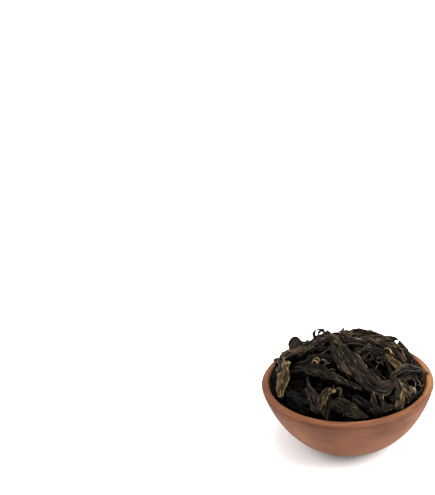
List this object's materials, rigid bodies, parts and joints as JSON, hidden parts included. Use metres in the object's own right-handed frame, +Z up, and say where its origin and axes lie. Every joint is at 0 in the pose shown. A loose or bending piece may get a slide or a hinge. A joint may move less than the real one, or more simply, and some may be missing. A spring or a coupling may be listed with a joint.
{
  "type": "bowl of dried wakame",
  "caption": "Small round-bottomed turned wooden bowl heaped above its rim with crumpled, pleated strips of dried wakame seaweed.",
  "frame": {"origin": "middle of the bowl's flat base, on the surface it stands on", "axes": "+Z up along the bowl's axis; the side seen in the picture faces -Y, and +X is to its right"},
  "size_m": [0.12, 0.12, 0.0803],
  "materials": {
    "bowl_wood": "satin oiled reddish-brown hardwood with fine horizontal grain",
    "dried_wakame": "near-black, satin, leathery dried seaweed with olive and golden-brown thin parts"
  },
  "bodies": {
    "root": {"bowl": "bowl_wood", "wakame_heap": "dried_wakame"}
  },
  "joints": []
}
